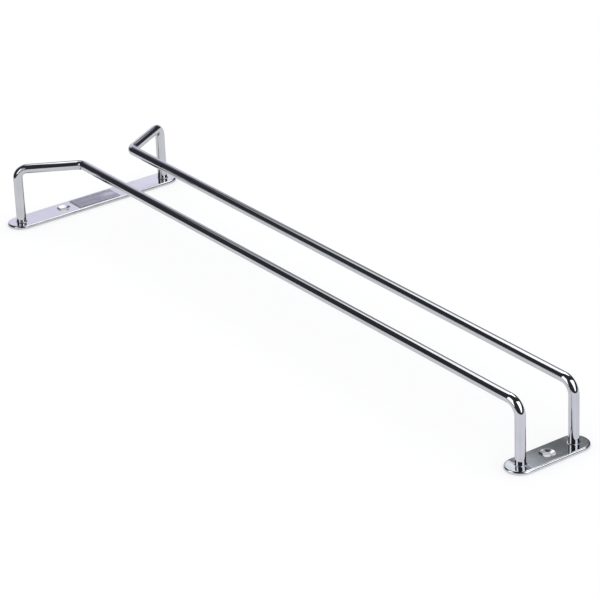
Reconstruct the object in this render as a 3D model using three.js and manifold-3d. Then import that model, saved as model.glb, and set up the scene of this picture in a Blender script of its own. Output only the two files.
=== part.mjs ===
// Single-row under-shelf stemware rack: two bent chrome wire rails standing on
// two flat screw-down plates. Millimetres, +Z up. The plates' screw faces lie
// on z = 0 (in use that face is against the underside of a shelf and the rack
// hangs from it). +X runs along the rails from the open, flared end, where a
// glass foot enters, to the closed end. +Y is towards rail_left. The origin is
// the centre of the bottom of the bounding box.
import * as THREE from 'three';
import { mergeVertices } from 'three/addons/utils/BufferGeometryUtils.js';
import Module from 'manifold-3d';

const wasm = await Module();
wasm.setup();

// ---- driving dimensions (mm) ----
const OVERALL_LENGTH = 406;        // outer edge of one plate to outer edge of the other
const PLATE_WIDTH = 15.5;          // along X
const PLATE_THICKNESS = 1.7;
const PLATE_EDGE_ROUND = 1.0;      // on the upper edge; the screw face's edge is square
const OPEN_PLATE_LENGTH = 110;     // along Y
const CLOSED_PLATE_LENGTH = 48.4;
const WIRE_DIAMETER = 5.3;         // 5 gauge wire, 0.207 in
const RAIL_AXIS_HEIGHT = 33.1;     // wire centre-line above the screw face
const RAIL_HALF_SPACING = 16.25;   // rail centre-line from the middle plane
const OPEN_POST_HALF_SPACING = 47.2;
const FLARE_RUN = 18.3;            // X distance from the open posts to the flare corner
const OPEN_POST_BEND = 5.5;        // centre-line bend radii
const FLARE_BEND = 5.0;
const CLOSED_POST_BEND = 7.0;
const SCREW_HOLE_DIAMETER = 4.4;     // clears a number 8 wood screw
const COUNTERSINK_DIAMETER = 8.0;
const COUNTERSINK_DEPTH = 0.75;
const OPEN_HOLE_HALF_SPACING = 20.9; // two screw holes in the open-end plate
const OPEN_HOLE_CENTRE_Y = 1.4;     // the pair of holes sits a little towards rail_left
const WELD_GAP = 0.1;              // radial gap between a post and its weld ring
const WELD_WIDTH = 0.65;
const WELD_HEIGHT = 0.5;
const LABEL_LENGTH = 27;           // blank identification plate, along Y
const LABEL_WIDTH = 12;
const LABEL_THICKNESS = 0.2;
const LABEL_CORNER = 0.6;
const LABEL_CENTRE_Y = 1.0;

const WIRE_SIDES = 32;
const BEND_STEPS = 10;             // segments through one bend

const END_X = (OVERALL_LENGTH - PLATE_WIDTH) / 2; // plate and post centre line
const WIRE_R = WIRE_DIAMETER / 2;

// ---- finishes ----
const chromeWire = () => new THREE.MeshStandardMaterial({ color: 0xd2d2da, roughness: 0.07, metalness: 1 });
const chromePlate = () => new THREE.MeshStandardMaterial({ color: 0xc9c9d2, roughness: 0.1, metalness: 1 });
const chromeWeld = () => new THREE.MeshStandardMaterial({ color: 0xb4b4bd, roughness: 0.2, metalness: 1 });
const greyLabel = () => new THREE.MeshStandardMaterial({ color: 0x93939d, roughness: 0.42, metalness: 0.7 });

// ---- solids ----
function solidOf(geometry) {
  geometry.deleteAttribute('normal');
  geometry.deleteAttribute('uv');
  const merged = mergeVertices(geometry, 1e-5);
  const mesh = new wasm.Mesh({
    numProp: 3,
    vertProperties: Float32Array.from(merged.attributes.position.array),
    triVerts: Uint32Array.from(merged.index.array),
  });
  return new wasm.Manifold(mesh);
}

function geometryOf(solid) {
  const mesh = solid.getMesh();
  const geometry = new THREE.BufferGeometry();
  geometry.setAttribute('position', new THREE.BufferAttribute(Float32Array.from(mesh.vertProperties), 3));
  geometry.setIndex(new THREE.BufferAttribute(Uint32Array.from(mesh.triVerts), 1));
  geometry.computeVertexNormals();
  return geometry;
}

// ---- bent wire ----
// A centre line through corner points, each corner rounded by its own radius.
// Its stations are the two ends and BEND_STEPS + 1 rings through every bend, so
// a straight length is one segment and its sides are exact prisms.
class WirePath extends THREE.Curve {
  constructor(corners, radii) {
    super();
    this.stations = [];
    const first = corners[1].clone().sub(corners[0]).normalize();
    this.stations.push({ p: corners[0].clone(), t: first });
    for (let i = 1; i < corners.length - 1; i++) {
      const into = corners[i].clone().sub(corners[i - 1]).normalize();
      const out = corners[i + 1].clone().sub(corners[i]).normalize();
      const turn = into.angleTo(out);
      const r = radii[i - 1];
      const setback = r * Math.tan(turn / 2);
      const start = corners[i].clone().addScaledVector(into, -setback);
      const side = out.clone().addScaledVector(into, -out.dot(into)).normalize();
      const centre = start.clone().addScaledVector(side, r);
      for (let k = 0; k <= BEND_STEPS; k++) {
        const a = (turn * k) / BEND_STEPS;
        const p = centre.clone()
          .addScaledVector(side, -r * Math.cos(a))
          .addScaledVector(into, r * Math.sin(a));
        const t = into.clone().multiplyScalar(Math.cos(a)).addScaledVector(side, Math.sin(a));
        this.stations.push({ p, t });
      }
    }
    const n = corners.length;
    const last = corners[n - 1].clone().sub(corners[n - 2]).normalize();
    this.stations.push({ p: corners[n - 1].clone(), t: last });
  }
  get steps() { return this.stations.length - 1; }
  getPoint(u, target = new THREE.Vector3()) {
    const s = u * this.steps;
    const i = Math.min(Math.floor(s + 1e-9), this.steps - 1);
    return target.copy(this.stations[i].p).lerp(this.stations[i + 1].p, s - i);
  }
  getPointAt(u, target) { return this.getPoint(u, target); }
  getTangentAt(u, target = new THREE.Vector3()) {
    return target.copy(this.stations[Math.round(u * this.steps)].t);
  }
  getTangent(u, target) { return this.getTangentAt(u, target); }
  getPoints() { return this.stations.map((s) => s.p.clone()); }
  getSpacedPoints() { return this.getPoints(); }
}

function roundSection(radius) {
  const points = [];
  for (let i = 0; i < WIRE_SIDES; i++) {
    const a = (i / WIRE_SIDES) * Math.PI * 2;
    points.push(new THREE.Vector2(radius * Math.cos(a), radius * Math.sin(a)));
  }
  return new THREE.Shape(points);
}

// side is -1 for the right rail and +1 for the left rail
function railGeometry(side) {
  const railY = side * RAIL_HALF_SPACING;
  const openY = side * OPEN_POST_HALF_SPACING;
  const corners = [
    new THREE.Vector3(-END_X, openY, PLATE_THICKNESS),
    new THREE.Vector3(-END_X, openY, RAIL_AXIS_HEIGHT),
    new THREE.Vector3(-END_X + FLARE_RUN, railY, RAIL_AXIS_HEIGHT),
    new THREE.Vector3(END_X, railY, RAIL_AXIS_HEIGHT),
    new THREE.Vector3(END_X, railY, PLATE_THICKNESS),
  ];
  const path = new WirePath(corners, [OPEN_POST_BEND, FLARE_BEND, CLOSED_POST_BEND]);
  return new THREE.ExtrudeGeometry(roundSection(WIRE_R), {
    steps: path.steps,
    extrudePath: path,
    bevelEnabled: false,
  });
}

// ---- screw-down plates ----
function stadium(length, width) {
  const r = width / 2;
  const straight = length / 2 - r;
  const shape = new THREE.Shape();
  shape.moveTo(r, -straight);
  shape.lineTo(r, straight);
  shape.absarc(0, straight, r, 0, Math.PI, false);
  shape.lineTo(-r, -straight);
  shape.absarc(0, -straight, r, Math.PI, Math.PI * 2, false);
  return shape;
}

// Through hole with a conical countersink opening at the upper face.
function screwCutter(x, y) {
  const top = PLATE_THICKNESS;
  const over = 0.5;
  const r0 = SCREW_HOLE_DIAMETER / 2;
  const r1 = COUNTERSINK_DIAMETER / 2;
  const slope = (r1 - r0) / COUNTERSINK_DEPTH;
  const profile = [
    new THREE.Vector2(0, -1),
    new THREE.Vector2(r0, -1),
    new THREE.Vector2(r0, top - COUNTERSINK_DEPTH),
    new THREE.Vector2(r1 + slope * over, top + over),
    new THREE.Vector2(0, top + over),
  ];
  const cutter = new THREE.LatheGeometry(profile, 48);
  cutter.rotateX(Math.PI / 2); // the lathe axis Y becomes Z
  cutter.translate(x, y, 0);
  return solidOf(cutter);
}

function plateGeometry(centreX, length, holeYs) {
  const round = PLATE_EDGE_ROUND;
  const depth = 2;
  const blank = new THREE.ExtrudeGeometry(stadium(length, PLATE_WIDTH), {
    depth,
    curveSegments: 24,
    bevelEnabled: true,
    bevelThickness: round,
    bevelSize: round,
    bevelOffset: -round,
    bevelSegments: 3,
  });
  blank.translate(centreX, 0, PLATE_THICKNESS - depth - round);
  // square off the screw face at z = 0
  const below = new THREE.BoxGeometry(PLATE_WIDTH + 10, length + 10, 10);
  below.translate(centreX, 0, -5);
  let solid = solidOf(blank).subtract(solidOf(below));
  for (const y of holeYs) solid = solid.subtract(screwCutter(centreX, y));
  return geometryOf(solid);
}

// ---- weld rings ----
// A small fillet ring round the foot of a post, on the plate's upper face.
function weldGeometry() {
  const r0 = WIRE_R + WELD_GAP;
  const r1 = r0 + WELD_WIDTH;
  const h = WELD_HEIGHT;
  const profile = [
    new THREE.Vector2(r0, 0),
    new THREE.Vector2(r1, 0),
    new THREE.Vector2(r0 + WELD_WIDTH * 0.42, h * 0.38),
    new THREE.Vector2(r0 + WELD_WIDTH * 0.12, h),
    new THREE.Vector2(r0, h),
    new THREE.Vector2(r0, 0),
  ];
  const ring = new THREE.LatheGeometry(profile, WIRE_SIDES);
  ring.rotateX(Math.PI / 2);
  return geometryOf(solidOf(ring));
}

// ---- blank identification plate ----
function labelGeometry() {
  const w = LABEL_WIDTH / 2;
  const l = LABEL_LENGTH / 2;
  const c = LABEL_CORNER;
  const shape = new THREE.Shape();
  shape.moveTo(-w + c, -l);
  shape.lineTo(w - c, -l);
  shape.absarc(w - c, -l + c, c, -Math.PI / 2, 0, false);
  shape.lineTo(w, l - c);
  shape.absarc(w - c, l - c, c, 0, Math.PI / 2, false);
  shape.lineTo(-w + c, l);
  shape.absarc(-w + c, l - c, c, Math.PI / 2, Math.PI, false);
  shape.lineTo(-w, -l + c);
  shape.absarc(-w + c, -l + c, c, Math.PI, Math.PI * 1.5, false);
  return new THREE.ExtrudeGeometry(shape, {
    depth: LABEL_THICKNESS,
    curveSegments: 4,
    bevelEnabled: false,
  });
}

// ---- assembly ----
const rack = new THREE.Group();

function add(name, geometry, material, x = 0, y = 0, z = 0) {
  const mesh = new THREE.Mesh(geometry, material);
  mesh.name = name;
  mesh.position.set(x, y, z);
  rack.add(mesh);
  return mesh;
}

add('open_end_plate',
  plateGeometry(-END_X, OPEN_PLATE_LENGTH, [
    OPEN_HOLE_CENTRE_Y - OPEN_HOLE_HALF_SPACING,
    OPEN_HOLE_CENTRE_Y + OPEN_HOLE_HALF_SPACING,
  ]),
  chromePlate());
add('closed_end_plate', plateGeometry(END_X, CLOSED_PLATE_LENGTH, [0]), chromePlate());
add('rail_right', railGeometry(-1), chromeWire());
add('rail_left', railGeometry(1), chromeWire());
add('weld_open_right', weldGeometry(), chromeWeld(), -END_X, -OPEN_POST_HALF_SPACING, PLATE_THICKNESS);
add('weld_open_left', weldGeometry(), chromeWeld(), -END_X, OPEN_POST_HALF_SPACING, PLATE_THICKNESS);
add('weld_closed_right', weldGeometry(), chromeWeld(), END_X, -RAIL_HALF_SPACING, PLATE_THICKNESS);
add('weld_closed_left', weldGeometry(), chromeWeld(), END_X, RAIL_HALF_SPACING, PLATE_THICKNESS);
add('id_label', labelGeometry(), greyLabel(), -END_X, LABEL_CENTRE_Y, PLATE_THICKNESS);

export default rack;
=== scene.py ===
"""Looks for the under-shelf stemware rack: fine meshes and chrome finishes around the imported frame."""
import math

import bpy
import numpy as np
from mathutils import Matrix, Vector
from mathutils.geometry import delaunay_2d_cdt


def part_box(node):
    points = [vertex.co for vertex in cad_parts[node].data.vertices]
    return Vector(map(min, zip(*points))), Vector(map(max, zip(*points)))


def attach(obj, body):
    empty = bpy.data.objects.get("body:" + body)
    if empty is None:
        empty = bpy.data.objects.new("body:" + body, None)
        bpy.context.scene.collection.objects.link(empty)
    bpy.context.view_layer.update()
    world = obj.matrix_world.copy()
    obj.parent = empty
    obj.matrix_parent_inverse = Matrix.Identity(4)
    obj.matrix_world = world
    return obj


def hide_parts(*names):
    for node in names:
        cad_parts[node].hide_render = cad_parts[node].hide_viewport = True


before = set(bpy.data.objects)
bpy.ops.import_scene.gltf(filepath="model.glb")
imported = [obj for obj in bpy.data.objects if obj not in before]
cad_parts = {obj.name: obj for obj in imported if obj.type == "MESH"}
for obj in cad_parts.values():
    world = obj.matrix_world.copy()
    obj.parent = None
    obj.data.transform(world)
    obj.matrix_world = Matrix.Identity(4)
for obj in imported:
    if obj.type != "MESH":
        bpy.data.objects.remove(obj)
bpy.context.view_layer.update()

MM = 0.001
scene = bpy.context.scene

# ---------------------------------------------------------------- sizes, read from the frame
open_lo, open_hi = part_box("open_end_plate")
closed_lo, closed_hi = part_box("closed_end_plate")
right_lo, right_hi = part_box("rail_right")
left_lo, left_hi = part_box("rail_left")
label_lo, label_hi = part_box("id_label")

OPEN_X = (open_lo.x + open_hi.x) / 2
CLOSED_X = (closed_lo.x + closed_hi.x) / 2
PLATE_W = open_hi.x - open_lo.x
PLATE_T = open_hi.z
OPEN_LEN = open_hi.y - open_lo.y
CLOSED_LEN = closed_hi.y - closed_lo.y
WIRE_R = right_hi.x - CLOSED_X
AXIS_Z = right_hi.z - WIRE_R
OPEN_Y = left_hi.y - WIRE_R
RAIL_Y = left_lo.y + WIRE_R

# sizes that a box doesn't give, the same as in the CAD
FLARE_RUN = 18.3 * MM
OPEN_BEND = 5.5 * MM
FLARE_BEND = 5.0 * MM
CLOSED_BEND = 7.0 * MM
HOLE_R = 2.2 * MM
SINK_R = 4.0 * MM
SINK_DEPTH = 0.75 * MM
OPEN_HOLE_YS = (-19.5 * MM, 22.3 * MM)
EDGE_ROUND = 1.0 * MM


# ---------------------------------------------------------------- mesh helpers
def new_object(name, verts, faces, smooth_angle=32.0):
    mesh = bpy.data.meshes.new(name)
    mesh.from_pydata([tuple(v) for v in verts], [], [tuple(f) for f in faces])
    mesh.validate()
    mesh.update()
    mesh.shade_smooth()
    mesh.set_sharp_from_angle(angle=math.radians(smooth_angle))
    ob = bpy.data.objects.new(name, mesh)
    scene.collection.objects.link(ob)
    return ob


def weigh_normals(ob):
    mod = ob.modifiers.new("flat_faces", "WEIGHTED_NORMAL")
    mod.keep_sharp = True
    mod.weight = 70


def finish_piece(ob, nodes, material):
    ob.data.materials.append(material)
    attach(ob, "root")
    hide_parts(*nodes)
    return ob


# ---------------------------------------------------------------- bent wire
def wire_path(corners, radii, bend_steps=36, straight_step=4.0 * MM):
    """Stations along a wire: position, tangent, arc length, and how far into a bend (0 to 1) with the bend's inward side."""
    corners = [Vector(c) for c in corners]
    stations = []
    at = corners[0]
    length = 0.0
    for i in range(1, len(corners)):
        into = (corners[i] - corners[i - 1]).normalized()
        last = i == len(corners) - 1
        if last:
            end, turn = corners[i], 0.0
        else:
            out = (corners[i + 1] - corners[i]).normalized()
            turn = into.angle(out)
            r = radii[i - 1]
            end = corners[i] - into * (r * math.tan(turn / 2))
        span = (end - at).length
        n = max(1, int(round(span / straight_step)))
        for k in range(n + 1):
            if stations and k == 0:
                continue
            stations.append((at.lerp(end, k / n), into, length + span * k / n, 0.0, None))
        length += span
        if not last:
            side = (out - into * out.dot(into)).normalized()
            centre = end + side * r
            for k in range(1, bend_steps + 1):
                a = turn * k / bend_steps
                p = centre - side * (r * math.cos(a)) + into * (r * math.sin(a))
                t = into * math.cos(a) + side * math.sin(a)
                inward = (centre - p).normalized()
                stations.append((p, t, length + r * a, math.sin(math.pi * k / bend_steps), inward))
            length += r * turn
            at = stations[-1][0]
    return stations, length


def bent_wire(name, corners, radii, sides=96, foot=0.9 * MM):
    stations, total = wire_path(corners, radii)
    # parallel-transported ring axes
    tangents = [s[1] for s in stations]
    first = Vector((0, 1, 0)) if abs(tangents[0].y) < 0.9 else Vector((1, 0, 0))
    normal = (first - tangents[0] * first.dot(tangents[0])).normalized()
    verts, flow = [], []
    for i, (p, t, s, bend, inward) in enumerate(stations):
        if i:
            axis = tangents[i - 1].cross(t)
            if axis.length > 1e-9:
                angle = tangents[i - 1].angle(t)
                normal = Matrix.Rotation(angle, 3, axis.normalized()) @ normal
            normal = (normal - t * normal.dot(t)).normalized()
        binormal = t.cross(normal)
        for k in range(sides):
            a = 2 * math.pi * k / sides
            d = normal * math.cos(a) + binormal * math.sin(a)
            r = WIRE_R
            if inward is not None and bend > 0:
                # a bent wire is a touch flatter across its bend and pulls in on the outside
                c = d.dot(inward)
                r *= 1 - 0.028 * bend * c * c + 0.012 * bend * (1 - c * c)
                if c < 0:
                    r *= 1 - 0.012 * bend * c * c
            verts.append(p + d * r)
            flow.append((s, a * WIRE_R, 0.0))
    rings = len(stations)
    faces = []
    for i in range(rings - 1):
        for k in range(sides):
            k1 = (k + 1) % sides
            faces.append((i * sides + k, i * sides + k1, (i + 1) * sides + k1, (i + 1) * sides + k))
    # flat feet
    faces.append(tuple(range(sides - 1, -1, -1)))
    faces.append(tuple((rings - 1) * sides + k for k in range(sides)))
    ob = new_object(name, verts, faces, 40)
    attr = ob.data.attributes.new("wire_flow", "FLOAT_VECTOR", "POINT")
    attr.data.foreach_set("vector", np.array(flow, np.float32).ravel())
    return ob


# ---------------------------------------------------------------- plates
def stadium_loop(length, width, inset, arc_steps=56, side_steps=40):
    """Counter-clockwise outline of a bar with round ends, its long way along Y, drawn in by inset."""
    r = width / 2 - inset
    straight = length / 2 - width / 2
    pts = []
    for k in range(side_steps):
        pts.append((r, -straight + 2 * straight * k / side_steps))
    for k in range(arc_steps):
        a = math.pi * k / arc_steps
        pts.append((r * math.cos(a), straight + r * math.sin(a)))
    for k in range(side_steps):
        pts.append((-r, straight - 2 * straight * k / side_steps))
    for k in range(arc_steps):
        a = math.pi + math.pi * k / arc_steps
        pts.append((r * math.cos(a), -straight + r * math.sin(a)))
    return pts


def circle_loop(x, y, r, n=72):
    return [(x + r * math.cos(2 * math.pi * k / n), y + r * math.sin(2 * math.pi * k / n)) for k in range(n)]


def fill_between(outer, holes, centres, radii):
    """Triangles of the flat region inside outer and outside every hole, as indices into outer + holes."""
    pts = [Vector(p) for p in outer]
    edges = [(i, (i + 1) % len(outer)) for i in range(len(outer))]
    for loop in holes:
        base = len(pts)
        pts += [Vector(p) for p in loop]
        edges += [(base + i, base + (i + 1) % len(loop)) for i in range(len(loop))]
    out = delaunay_2d_cdt(pts, edges, [], 1, 1e-9)
    coords, tris, orig = out[0], out[2], out[3]
    index = {i: o[0] for i, o in enumerate(orig) if o}
    result = []
    for tri in tris:
        c = sum((coords[i] for i in tri), Vector((0, 0))) / len(tri)
        if any((c - Vector(q)).length < r for q, r in zip(centres, radii)):
            continue
        result.append(tuple(index[i] for i in tri))
    return result


def screw_plate(name, x, length, hole_ys):
    """A stamped bar with round ends, a rolled-over upper edge, and countersunk holes with eased rims."""
    verts, faces = [], []

    def add_loop(pts, z):
        base = len(verts)
        verts.extend((px + x, py, z) for px, py in pts)
        return base, len(pts)

    def bridge(a, b):
        (i, n), (j, _) = a, b
        for k in range(n):
            k1 = (k + 1) % n
            faces.append((i + k, i + k1, j + k1, j + k))

    # outside: flat top, round, wall, small lower burr radius, flat underside
    profile = [(EDGE_ROUND, PLATE_T)]
    for k in range(1, 13):
        a = math.pi / 2 * k / 12
        profile.append((EDGE_ROUND * (1 - math.sin(a)), PLATE_T - EDGE_ROUND * (1 - math.cos(a))))
    low = 0.14 * MM
    for k in range(0, 6):
        a = math.pi / 2 * k / 5
        profile.append((low * (1 - math.cos(a)), low * (1 - math.sin(a))))
    loops = [add_loop(stadium_loop(length, PLATE_W, inset), z) for inset, z in profile]
    for a, b in zip(loops[:-1], loops[1:]):
        bridge(b, a)
    # holes: eased rim, cone, throat, underside
    rim = 0.28 * MM
    cone = math.atan2(SINK_R - HOLE_R, SINK_DEPTH)  # from the vertical
    tilt = math.pi / 2 - cone                       # cone surface below the horizontal
    hole_tops, hole_bottoms = [], []
    for hy in hole_ys:
        reach = rim * math.tan(tilt / 2)
        rings = []
        for k in range(0, 9):
            a = tilt * k / 8
            r = SINK_R + reach - rim * math.sin(a)
            z = PLATE_T - rim * (1 - math.cos(a))
            rings.append((r, z))
        throat_z = PLATE_T - SINK_DEPTH
        for k in range(1, 6):
            t = k / 5
            rings.append((rings[8][0] + (HOLE_R - rings[8][0]) * t, rings[8][1] + (throat_z - rings[8][1]) * t))
        rings.append((HOLE_R, throat_z * 0.5))
        rings.append((HOLE_R, 0.0))
        made = [add_loop(circle_loop(0, hy, r), z) for r, z in rings]
        for a, b in zip(made[:-1], made[1:]):
            bridge(a, b)
        hole_tops.append((made[0], rings[0][0], hy))
        hole_bottoms.append((made[-1], rings[-1][0], hy))

    def cap(outer_loop, inset, holes, up):
        outer = stadium_loop(length, PLATE_W, inset)
        rings = [circle_loop(0, hy, r) for _, r, hy in holes]
        index = list(range(outer_loop[0], outer_loop[0] + outer_loop[1]))
        for (base, n), _, _ in holes:
            index += list(range(base, base + n))
        for tri in fill_between(outer, rings, [(0, hy) for _, _, hy in holes], [r * 0.999 for _, r, _ in holes]):
            a, b, c = (index[i] for i in tri)
            va, vb, vc = (Vector(verts[i][:2]) for i in (a, b, c))
            ccw = (vb - va).cross(vc - va) > 0
            faces.append((a, b, c) if ccw == up else (a, c, b))

    cap(loops[0], profile[0][0], hole_tops, True)
    cap(loops[-1], profile[-1][0], hole_bottoms, False)
    ob = new_object(name, verts, faces, 30)
    weigh_normals(ob)
    return ob


# ---------------------------------------------------------------- weld beads
def weld_bead(name, x, y, phase):
    """A low fillet between a post and its plate, uneven as a resistance weld is."""
    n, m = 96, 14
    verts, faces = [], []
    r_in = WIRE_R - 0.05 * MM
    for k in range(n):
        a = 2 * math.pi * k / n
        wave = 0.5 * math.sin(2 * a + phase) + 0.3 * math.sin(5 * a + 1.7 * phase) + 0.2 * math.sin(9 * a - phase)
        width = (0.62 + 0.09 * wave) * MM
        height = (0.50 + 0.07 * wave) * MM
        for j in range(m):
            t = j / (m - 1)
            # concave quarter from the top of the fillet down and out to the plate
            b = math.pi / 2 * t
            r = WIRE_R + width * (1 - math.cos(b))
            z = height * (1 - math.sin(b))
            verts.append((x + r * math.cos(a), y + r * math.sin(a), PLATE_T + z))
        verts.append((x + r_in * math.cos(a), y + r_in * math.sin(a), PLATE_T))
        verts.append((x + r_in * math.cos(a), y + r_in * math.sin(a), PLATE_T + height))
    w = m + 2
    for k in range(n):
        k1 = (k + 1) % n
        for j in range(w):
            j1 = (j + 1) % w
            faces.append((k * w + j, k * w + j1, k1 * w + j1, k1 * w + j))
    ob = new_object(name, verts, faces, 50)
    return ob


# ---------------------------------------------------------------- blank label
def label_plate(name):
    """A thin blank plate with round corners, an eased edge and a shallow pressed border."""
    lo, hi = label_lo, label_hi
    cx, cy = (lo.x + hi.x) / 2, (lo.y + hi.y) / 2
    hw, hl = (hi.x - lo.x) / 2, (hi.y - lo.y) / 2
    z0, z1 = lo.z, hi.z
    corner = 0.8 * MM

    def loop(inset, z):
        pts = []
        r = max(corner - inset, 0.12 * MM)
        for sx, sy, a0 in ((1, -1, -90), (1, 1, 0), (-1, 1, 90), (-1, -1, 180)):
            for k in range(9):
                a = math.radians(a0 + 90 * k / 8)
                pts.append((cx + sx * (hw - inset - r) + r * math.cos(a), cy + sy * (hl - inset - r) + r * math.sin(a), z))
        return pts

    e = 0.06 * MM
    g = 0.05 * MM
    levels = [(0, z0), (0, z1 - e), (e * 0.3, z1 - e * 0.3), (e, z1), (0.55 * MM, z1), (0.62 * MM, z1 - g),
              (0.78 * MM, z1 - g), (0.85 * MM, z1)]
    verts, faces = [], []
    for inset, z in levels:
        verts += loop(inset, z)
    n = 36
    for i in range(len(levels) - 1):
        for k in range(n):
            k1 = (k + 1) % n
            faces.append((i * n + k, i * n + k1, (i + 1) * n + k1, (i + 1) * n + k))
    faces.append(tuple(range(n - 1, -1, -1)))
    faces.append(tuple((len(levels) - 1) * n + k for k in range(n)))
    ob = new_object(name, verts, faces, 25)
    return ob


# ---------------------------------------------------------------- materials
class Nodes:
    def __init__(self, material):
        material.use_nodes = True
        self.tree = material.node_tree
        self.tree.nodes.clear()

    def add(self, kind, **inputs):
        node = self.tree.nodes.new(kind)
        for key, value in inputs.items():
            if key in node.inputs:
                node.inputs[key].default_value = value
            else:
                setattr(node, key, value)
        return node

    def link(self, a, b):
        self.tree.links.new(a, b)

    def math(self, op, a, b=None, clamp=False):
        node = self.tree.nodes.new("ShaderNodeMath")
        node.operation = op
        node.use_clamp = clamp
        for i, v in enumerate((a, b)):
            if v is None:
                continue
            if isinstance(v, (int, float)):
                node.inputs[i].default_value = v
            else:
                self.link(v, node.inputs[i])
        return node.outputs[0]

    def remap(self, value, a, b, c, d, smooth=False):
        node = self.tree.nodes.new("ShaderNodeMapRange")
        if smooth:
            node.interpolation_type = "SMOOTHSTEP"
        node.inputs["From Min"].default_value = a
        node.inputs["From Max"].default_value = b
        node.inputs["To Min"].default_value = c
        node.inputs["To Max"].default_value = d
        self.link(value, node.inputs["Value"])
        return node.outputs[0]

    def noise(self, vector, scale, detail=2.0, rough=0.5):
        node = self.tree.nodes.new("ShaderNodeTexNoise")
        node.inputs["Scale"].default_value = scale
        node.inputs["Detail"].default_value = detail
        node.inputs["Roughness"].default_value = rough
        self.link(vector, node.inputs["Vector"])
        return node.outputs["Fac"]

    def stretch(self, vector, x, y, z):
        node = self.tree.nodes.new("ShaderNodeMapping")
        node.inputs["Scale"].default_value = (x, y, z)
        self.link(vector, node.inputs["Vector"])
        return node.outputs[0]

    def bump(self, height, strength, distance, normal=None):
        node = self.tree.nodes.new("ShaderNodeBump")
        node.inputs["Strength"].default_value = strength
        node.inputs["Distance"].default_value = distance
        self.link(height, node.inputs["Height"])
        if normal is not None:
            self.link(normal, node.inputs["Normal"])
        return node.outputs[0]

    def ramp(self, value, stops):
        node = self.tree.nodes.new("ShaderNodeValToRGB")
        el = node.color_ramp.elements
        while len(el) > 1:
            el.remove(el[-1])
        el[0].position, el[0].color = stops[0][0], (*stops[0][1], 1)
        for pos, col in stops[1:]:
            e = el.new(pos)
            e.color = (*col, 1)
        self.link(value, node.inputs[0])
        return node.outputs[0]

    def principled(self):
        bsdf = self.tree.nodes.new("ShaderNodeBsdfPrincipled")
        out = self.tree.nodes.new("ShaderNodeOutputMaterial")
        self.link(bsdf.outputs[0], out.inputs[0])
        return bsdf


def chrome_wire():
    mat = bpy.data.materials.new("chrome_wire")
    n = Nodes(mat)
    flow = n.add("ShaderNodeAttribute", attribute_name="wire_flow").outputs["Vector"]
    where = n.add("ShaderNodeTexCoord").outputs["Object"]
    bsdf = n.principled()
    bsdf.inputs["Metallic"].default_value = 1.0
    bsdf.inputs["Specular Tint"].default_value = (0.82, 0.82, 0.83, 1)
    # drawing lines run along the wire: long one way, fine the other
    lines = n.noise(n.stretch(flow, 55, 5200, 1), 1.0, 3, 0.55)
    cloud = n.noise(where, 90, 3, 0.55)
    speck = n.noise(where, 2600, 2, 0.6)
    rough = n.math("ADD", n.remap(lines, 0.3, 0.75, 0.0, 0.022), n.remap(cloud, 0.35, 0.7, 0.022, 0.045))
    n.link(rough, bsdf.inputs["Roughness"])
    streak = n.noise(n.stretch(flow, 26, 640, 1), 1.0, 2, 0.5)
    tone = n.math("ADD", n.math("MULTIPLY", cloud, 0.35),
                  n.math("ADD", n.math("MULTIPLY", lines, 0.2), n.math("MULTIPLY", streak, 0.45)))
    n.link(n.ramp(tone, [(0.34, (0.478, 0.483, 0.506)), (0.50, (0.540, 0.545, 0.570)), (0.66, (0.600, 0.604, 0.628))]),
           bsdf.inputs["Base Color"])
    height = n.math("ADD", n.math("MULTIPLY", lines, 0.6), n.math("MULTIPLY", speck, 0.4))
    fine = n.bump(height, 0.10, 0.0000035)
    # a long, very shallow wave left by straightening
    wave = n.noise(n.stretch(flow, 42, 260, 1), 1.0, 1, 0.4)
    n.link(n.bump(wave, 0.25, 0.00002, fine), bsdf.inputs["Normal"])
    return mat


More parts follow.
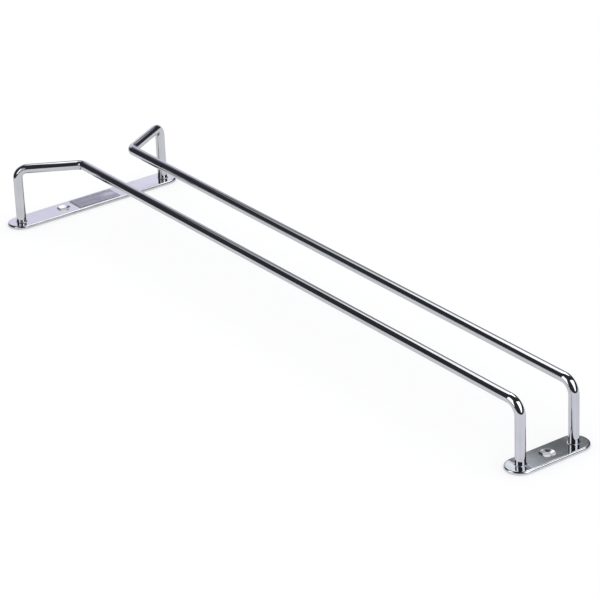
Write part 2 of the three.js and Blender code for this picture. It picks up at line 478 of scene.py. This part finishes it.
def chrome_plate():
    mat = bpy.data.materials.new("chrome_plate")
    n = Nodes(mat)
    where = n.add("ShaderNodeTexCoord").outputs["Object"]
    bsdf = n.principled()
    bsdf.inputs["Metallic"].default_value = 1.0
    bsdf.inputs["Specular Tint"].default_value = (0.82, 0.82, 0.83, 1)
    rolled = n.noise(n.stretch(where, 2200, 70, 2200), 1.0, 3, 0.6)
    cloud = n.noise(where, 130, 3, 0.5)
    speck = n.noise(where, 1700, 2, 0.6)
    rough = n.math("ADD", n.remap(rolled, 0.3, 0.75, 0.0, 0.03), n.remap(cloud, 0.3, 0.7, 0.05, 0.085))
    # the cutter leaves the countersinks duller than the faces
    nearest = None
    for hole in [(OPEN_X, y, PLATE_T) for y in OPEN_HOLE_YS] + [(CLOSED_X, 0.0, PLATE_T)]:
        gap = n.add("ShaderNodeVectorMath", operation="DISTANCE")
        n.link(where, gap.inputs[0])
        gap.inputs[1].default_value = hole
        gap = gap.outputs["Value"]
        nearest = gap if nearest is None else n.math("MINIMUM", nearest, gap)
    sunk = n.remap(nearest, SINK_R - 0.0001, SINK_R + 0.0001, 1.0, 0.0)
    rough = n.math("ADD", rough, n.math("MULTIPLY", sunk, n.remap(speck, 0.3, 0.7, 0.08, 0.14)))
    n.link(rough, bsdf.inputs["Roughness"])
    tone = n.math("ADD", n.math("MULTIPLY", cloud, 0.6), n.math("MULTIPLY", rolled, 0.4))
    sep = n.add("ShaderNodeSeparateXYZ")
    n.link(where, sep.inputs[0])
    # painted reflection: the long plate is coloured lighter towards its far end, standing in for the brighter
    # reflection that end catches
    tone = n.math("ADD", tone, n.remap(sep.outputs[1], 0.012, 0.045, 0.0, 0.22, smooth=True))
    short = n.math("GREATER_THAN", sep.outputs[0], 0.0)
    # painted shade and painted highlight: the short plate's flat face is coloured darker, standing in for the darker
    # reflection it catches, and its rounded edge is coloured lighter as a painted highlight
    level = n.add("ShaderNodeSeparateXYZ")
    n.link(n.add("ShaderNodeNewGeometry").outputs["Normal"], level.inputs[0])
    flat = n.remap(level.outputs[2], 0.93, 0.99, 0.0, 1.0)
    tone = n.math("SUBTRACT", tone, n.math("MULTIPLY", n.math("MULTIPLY", short, flat), 0.30))
    tone = n.math("ADD", tone, n.math("MULTIPLY", n.math("SUBTRACT", short, n.math("MULTIPLY", short, flat)), 0.22))
    n.link(n.ramp(tone, [(0.00, (0.442, 0.474, 0.508)), (0.25, (0.462, 0.494, 0.528)), (0.34, (0.534, 0.541, 0.556)),
                         (0.55, (0.566, 0.572, 0.588)), (0.78, (0.622, 0.628, 0.642))]),
           bsdf.inputs["Base Color"])
    height = n.math("ADD", n.math("MULTIPLY", rolled, 0.5), n.math("MULTIPLY", speck, 0.5))
    fine = n.bump(height, 0.12, 0.000004)
    wave = n.noise(where, 75, 1, 0.4)
    eased = n.bump(wave, 0.35, 0.00004, fine)
    # the ends of the short plate are eased a few degrees by the press
    near_tip = n.remap(sep.outputs[1], -0.0135, -0.0240, 0.0, -1.0, smooth=True)
    far_tip = n.remap(sep.outputs[1], 0.0135, 0.0240, 0.0, 0.40, smooth=True)
    tips = n.math("MULTIPLY", n.math("ADD", near_tip, far_tip), short)
    n.link(n.bump(tips, 1.0, 0.00030, eased), bsdf.inputs["Normal"])
    return mat


def chrome_weld():
    mat = bpy.data.materials.new("chrome_weld")
    n = Nodes(mat)
    where = n.add("ShaderNodeTexCoord").outputs["Object"]
    bsdf = n.principled()
    bsdf.inputs["Metallic"].default_value = 1.0
    grain = n.noise(where, 1500, 4, 0.6)
    lump = n.noise(where, 420, 2, 0.5)
    n.link(n.remap(grain, 0.3, 0.7, 0.10, 0.24), bsdf.inputs["Roughness"])
    n.link(n.ramp(lump, [(0.3, (0.40, 0.40, 0.43)), (0.7, (0.53, 0.53, 0.56))]), bsdf.inputs["Base Color"])
    fine = n.bump(grain, 0.3, 0.00001)
    n.link(n.bump(lump, 0.5, 0.00006, fine), bsdf.inputs["Normal"])
    return mat


def label_foil():
    mat = bpy.data.materials.new("blank_label")
    n = Nodes(mat)
    where = n.add("ShaderNodeTexCoord").outputs["Object"]
    bsdf = n.principled()
    brushed = n.noise(n.stretch(where, 4200, 75, 90), 1.0, 3, 0.6)
    bands = n.noise(n.stretch(where, 620, 20, 30), 1.0, 1, 0.4)
    cloud = n.noise(where, 330, 3, 0.55)
    sep = n.add("ShaderNodeSeparateXYZ")
    n.link(where, sep.inputs[0])
    far_end = n.remap(sep.outputs[1], 0.000, 0.0135, 0.0, 1.0, smooth=True)
    bsdf.inputs["Metallic"].default_value = 0.85
    tone = n.math("ADD", n.math("MULTIPLY", brushed, 0.25), n.math("MULTIPLY", cloud, 0.35))
    tone = n.math("ADD", tone, n.math("MULTIPLY", bands, 0.40))
    # the label is coloured lighter in bands towards its far end
    far_bands = n.math("MULTIPLY", n.remap(bands, 0.40, 0.58, 0.05, 1.0), far_end)
    tone = n.math("ADD", tone, n.math("MULTIPLY", far_bands, 0.26))
    n.link(n.ramp(tone, [(0.36, (0.235, 0.246, 0.286)), (0.50, (0.302, 0.313, 0.358)), (0.62, (0.372, 0.382, 0.425)), (0.82, (0.560, 0.562, 0.604))]),
           bsdf.inputs["Base Color"])
    n.link(n.remap(brushed, 0.3, 0.7, 0.24, 0.40), bsdf.inputs["Roughness"])
    fine = n.bump(brushed, 0.4, 0.000012)
    n.link(n.bump(cloud, 0.3, 0.00002, fine), bsdf.inputs["Normal"])
    return mat


wire_mat = chrome_wire()
plate_mat = chrome_plate()
weld_mat = chrome_weld()
label_mat = label_foil()

# ---------------------------------------------------------------- the rack
for name, node, side in (("rail_right_wire", "rail_right", -1), ("rail_left_wire", "rail_left", 1)):
    corners = [
        (OPEN_X, side * OPEN_Y, PLATE_T),
        (OPEN_X, side * OPEN_Y, AXIS_Z),
        (OPEN_X + FLARE_RUN, side * RAIL_Y, AXIS_Z),
        (CLOSED_X, side * RAIL_Y, AXIS_Z),
        (CLOSED_X, side * RAIL_Y, PLATE_T),
    ]
    wire = bent_wire(name, corners, [OPEN_BEND, FLARE_BEND, CLOSED_BEND])
    finish_piece(wire, [node], wire_mat)

finish_piece(screw_plate("open_plate", OPEN_X, OPEN_LEN, list(OPEN_HOLE_YS)),
             ["open_end_plate"], plate_mat)
finish_piece(screw_plate("closed_plate", CLOSED_X, CLOSED_LEN, [0.0]),
             ["closed_end_plate"], plate_mat)

for node, x, y, phase in (
    ("weld_open_right", OPEN_X, -OPEN_Y, 0.4),
    ("weld_open_left", OPEN_X, OPEN_Y, 2.1),
    ("weld_closed_right", CLOSED_X, -RAIL_Y, 3.3),
    ("weld_closed_left", CLOSED_X, RAIL_Y, 5.2),
):
    finish_piece(weld_bead(node.replace("weld", "bead"), x, y, phase), [node], weld_mat)

finish_piece(label_plate("blank_label_plate"), ["id_label"], label_mat)


# ---------------------------------------------------------------- studio
def lit_card(name, corners, *falloffs, tint=(1, 1, 1), strength=1.0, aim=()):
    """A reflector that only mirror-like surfaces see. Each falloff is ((a, b, c), [(position, brightness), ...]), read at
    a*x + b*y + c*z; the card's brightness is their product, so that its edges can be as soft as a real diffuser's.
    aim is ((axis, signed, from, to, brightness at from, brightness at to), ...) on the direction the card is seen
    from, like the grid over a softbox."""
    mat = bpy.data.materials.new(name)
    n = Nodes(mat)
    out = n.add("ShaderNodeOutputMaterial")
    em = n.add("ShaderNodeEmission")
    em.inputs["Color"].default_value = (*tint, 1)
    where = n.add("ShaderNodeTexCoord").outputs["Object"]
    value = None
    for direction, stops in falloffs:
        dot = n.add("ShaderNodeVectorMath", operation="DOT_PRODUCT")
        n.link(where, dot.inputs[0])
        dot.inputs[1].default_value = direction
        lo, hi = stops[0][0], stops[-1][0]
        top = max(v for _, v in stops)
        t = n.remap(dot.outputs["Value"], lo, hi, 0.0, 1.0)
        ramp = n.ramp(t, [((p - lo) / (hi - lo), (v / top,) * 3) for p, v in stops])
        one = n.math("MULTIPLY", ramp, top)
        value = one if value is None else n.math("MULTIPLY", value, one)
    if aim:
        facing = n.add("ShaderNodeSeparateXYZ")
        n.link(n.add("ShaderNodeNewGeometry").outputs["Incoming"], facing.inputs[0])
        for axis, signed, lo, hi, at_lo, at_hi in aim:
            part = facing.outputs[axis] if signed else n.math("ABSOLUTE", facing.outputs[axis])
            one = n.remap(part, lo, hi, at_lo, at_hi)
            value = one if value is None else n.math("MULTIPLY", value, one)
    if value is None:
        em.inputs["Strength"].default_value = strength
    else:
        n.link(n.math("MAXIMUM", n.math("MULTIPLY", value, strength), 0.042), em.inputs["Strength"])
    n.link(em.outputs[0], out.inputs[0])
    mesh = bpy.data.meshes.new(name)
    mesh.from_pydata(corners, [], [tuple(range(len(corners)))])
    mesh.materials.append(mat)
    ob = bpy.data.objects.new(name, mesh)
    scene.collection.objects.link(ob)
    ob.visible_camera = False
    ob.visible_diffuse = False
    ob.visible_shadow = False
    ob.visible_transmission = False
    ob.visible_volume_scatter = False
    return ob


X, Y, Z = (1, 0, 0), (0, 1, 0), (0, 0, 1)
# overhead panel, behind and to the left of the rack: dimmer to the left, soft front edge, cut off at the back right
lit_card("panel_overhead",
         [(-0.56, -0.060, 0.385), (-0.424, -0.036, 0.385), (-0.378, -0.018, 0.385), (-0.345, -0.002, 0.385),
          (-0.308, 0.018, 0.385), (-0.272, 0.014, 0.385), (-0.235, 0.000, 0.385), (-0.197, -0.030, 0.385),
          (-0.165, -0.056, 0.385), (-0.135, -0.032, 0.385), (0.02, 0.10, 0.385),
          (0.12, 0.20, 0.385), (0.12, 0.52, 0.385), (-0.56, 0.52, 0.385)],
         (X, [(-0.56, 0.0), (-0.50, 0.24), (-0.46, 0.46), (-0.42, 0.68), (-0.39, 0.88), (-0.36, 1.08), (-0.331, 1.30),
              (-0.309, 1.50), (-0.28, 1.68), (-0.2, 1.80), (0.12, 1.80)]),
         ((0.30, 1.0, 0), [(0.25, 1.0), (0.310, 0.88), (0.330, 0.62), (0.342, 0.44), (0.352, 0.26), (0.362, 0.18),
                           (0.376, 0.15), (0.40, 0.15)]),
         aim=((0, True, 0.55, 0.67, 2.0, 1.0), (0, True, -0.02, 0.14, 0.36, 1.0), (2, False, 0.90, 0.995, 1.0, 0.35)))
# softbox beyond the closed end
lit_card("panel_right", [(0.33, -0.06, 0.40), (2.20, -0.06, 0.40), (2.20, 0.45, 0.40), (0.33, 0.45, 0.40)],
         strength=2.3)
# low white card in front
lit_card("panel_front", [(-0.085, -0.355, 0.07), (0.18, -0.355, 0.07), (0.18, -0.355, 0.43), (-0.085, -0.355, 0.43)],
         strength=2.1, aim=((0, True, -0.30, 0.0, 0.28, 1.0),))
# small card beside it, turned to the open end
lit_card("card_front_left", [(-0.26, -0.355, 0.06), (-0.09, -0.355, 0.06), (-0.09, -0.355, 0.34), (-0.26, -0.355, 0.34)],
         strength=2.1, aim=((0, True, -0.02, 0.08, 1.0, 0.0),))
# pale walls far behind and to the left, fading out upwards and to the right
lit_card("wall_back", [(-2.2, 1.0, -0.001), (-0.5, 1.0, -0.001), (-0.5, 1.0, 2.0), (-2.2, 1.0, 2.0)],
         (X, [(-2.2, 1.16), (-1.52, 1.16), (-1.42, 0.95), (-1.33, 0.70), (-1.24, 0.50), (-1.15, 0.42), (-0.5, 0.42)]),
         ((0.6, 0, 1), [(-1.4, 1.0), (-0.132, 1.0), (-0.095, 0.66), (-0.012, 0.47), (0.03, 0.36), (0.08, 0.27),
                        (0.15, 0.15), (0.25, 0.05), (0.4, 0.02)]), tint=(0.985, 0.955, 1.13))
lit_card("wall_left", [(-2.2, -0.8, -0.001), (-2.2, 1.0, -0.001), (-2.2, 1.0, 2.0), (-2.2, -0.8, 2.0)],
         (Y, [(-0.8, 0.03), (-0.45, 0.14), (-0.1, 0.5), (0.2, 0.95), (0.6, 1.0), (1.0, 1.0)]),
         (Z, [(0.0, 1.12), (1.10, 1.05), (1.25, 0.84), (1.33, 0.68), (1.52, 0.38), (1.62, 0.25), (1.72, 0.14),
              (1.85, 0.05), (2.0, 0.02)]), tint=(0.985, 0.955, 1.13))

# floor: pale; past the front edge of the table mirrors see the dark room instead
floor_mesh = bpy.data.meshes.new("floor")
S = 8.0
floor_mesh.from_pydata([(-S, -S, -0.0002), (S, -S, -0.0002), (S, S, -0.0002), (-S, S, -0.0002)], [], [(0, 1, 2, 3)])
floor = bpy.data.objects.new("floor", floor_mesh)
scene.collection.objects.link(floor)
floor_mat = bpy.data.materials.new("pale_floor")
fn = Nodes(floor_mat)
f_out = fn.add("ShaderNodeOutputMaterial")
f_dif = fn.add("ShaderNodeBsdfDiffuse")
f_dif.inputs["Color"].default_value = (0.960, 0.965, 0.980, 1)
f_room = fn.add("ShaderNodeEmission")
f_room.inputs["Color"].default_value = (0.040, 0.043, 0.050, 1)
f_white = fn.add("ShaderNodeEmission")
f_white.inputs["Color"].default_value = (1.0, 1.0, 1.0, 1)
f_white.inputs["Strength"].default_value = 1.04
f_even = fn.add("ShaderNodeEmission")
f_path = fn.add("ShaderNodeLightPath")
f_sep = fn.add("ShaderNodeSeparateXYZ")
fn.link(fn.add("ShaderNodeTexCoord").outputs["Object"], f_sep.inputs[0])
skewed = fn.math("ADD", f_sep.outputs[1], fn.math("MULTIPLY", f_sep.outputs[0], 0.8))
past_edge = fn.remap(skewed, -0.322, -0.355, 0.0, 1.0, smooth=True)
closed_side = fn.remap(f_sep.outputs[0], 0.13, 0.22, 0.0, 1.0, smooth=True)
cool = fn.ramp(closed_side, [(0.0, (0.848, 0.852, 0.870)), (1.0, (0.905, 0.914, 1.0))])
fn.link(cool, f_even.inputs["Color"])
f_even.inputs["Strength"].default_value = 1.15


def f_blend(factor, a, b):
    node = fn.add("ShaderNodeMixShader")
    if isinstance(factor, float):
        node.inputs[0].default_value = factor
    else:
        fn.link(factor, node.inputs[0])
    fn.link(a.outputs[0], node.inputs[1])
    fn.link(b.outputs[0], node.inputs[2])
    return node


glossy = f_path.outputs["Is Glossy Ray"]
# under the plates only the screw holes show the floor, and there it lies in shadow
along = fn.math("ABSOLUTE", f_sep.outputs[0])
across = fn.math("ABSOLUTE", f_sep.outputs[1])
under = fn.math("MULTIPLY", fn.math("GREATER_THAN", along, 0.1878), fn.math("LESS_THAN", along, 0.2027))
under = fn.math("MULTIPLY", under, fn.math("LESS_THAN", across, fn.remap(f_sep.outputs[0], -0.1, 0.1, 0.030, 0.006)))
lit = fn.math("MULTIPLY", f_path.outputs["Is Camera Ray"], fn.math("SUBTRACT", 0.5, fn.math("MULTIPLY", under, 0.5)))
for_camera = f_blend(lit, f_dif, f_white)
near_floor = f_blend(fn.math("MULTIPLY", glossy, 0.6), for_camera, f_even)
f_all = f_blend(fn.math("MULTIPLY", past_edge, glossy), near_floor, f_room)
fn.link(f_all.outputs[0], f_out.inputs[0])
floor_mesh.materials.append(floor_mat)

# world: an even white dome for the floor and the backdrop, a dark room for mirror reflections
world = bpy.data.worlds.new("studio")
scene.world = world
wn = Nodes(world)
w_out = wn.add("ShaderNodeOutputWorld")
white = wn.add("ShaderNodeBackground")
white.inputs["Color"].default_value = (1.0, 1.0, 1.0, 1)
white.inputs["Strength"].default_value = 1.035
dark = wn.add("ShaderNodeBackground")
dark.inputs["Color"].default_value = (0.040, 0.043, 0.050, 1)
mix = wn.add("ShaderNodeMixShader")
path = wn.add("ShaderNodeLightPath")
wn.link(path.outputs["Is Glossy Ray"], mix.inputs[0])
wn.link(white.outputs[0], mix.inputs[1])
wn.link(dark.outputs[0], mix.inputs[2])
wn.link(mix.outputs[0], w_out.inputs[0])

scene.view_settings.view_transform = "Standard"
scene.view_settings.look = "None"
scene.view_settings.exposure = 0.0
scene.view_settings.gamma = 1.0

# ---------------------------------------------------------------- camera
AZ, EL, ROLL = math.radians(54.694), math.radians(25.554), math.radians(-2.395)
back = Vector((math.sin(AZ) * math.cos(EL), -math.cos(AZ) * math.cos(EL), math.sin(EL)))
right = (-back).cross(Vector((0, 0, 1))).normalized()
up = right.cross(-back)
cam_x = right * math.cos(ROLL) + up * math.sin(ROLL)
cam_y = -right * math.sin(ROLL) + up * math.cos(ROLL)
cam_data = bpy.data.cameras.new("camera")
cam_data.sensor_fit = "HORIZONTAL"
cam_data.sensor_width = 36.0
cam_data.lens = 36.0 * 2774.056 / 600.0
cam_data.clip_start, cam_data.clip_end = 0.05, 60.0
camera = bpy.data.objects.new("camera", cam_data)
scene.collection.objects.link(camera)
place = Vector((0.002855, 0.0, 0.010229)) + back * 1.419861
camera.matrix_world = Matrix((
    (cam_x.x, cam_y.x, back.x, place.x),
    (cam_x.y, cam_y.y, back.y, place.y),
    (cam_x.z, cam_y.z, back.z, place.z),
    (0, 0, 0, 1),
))
scene.camera = camera
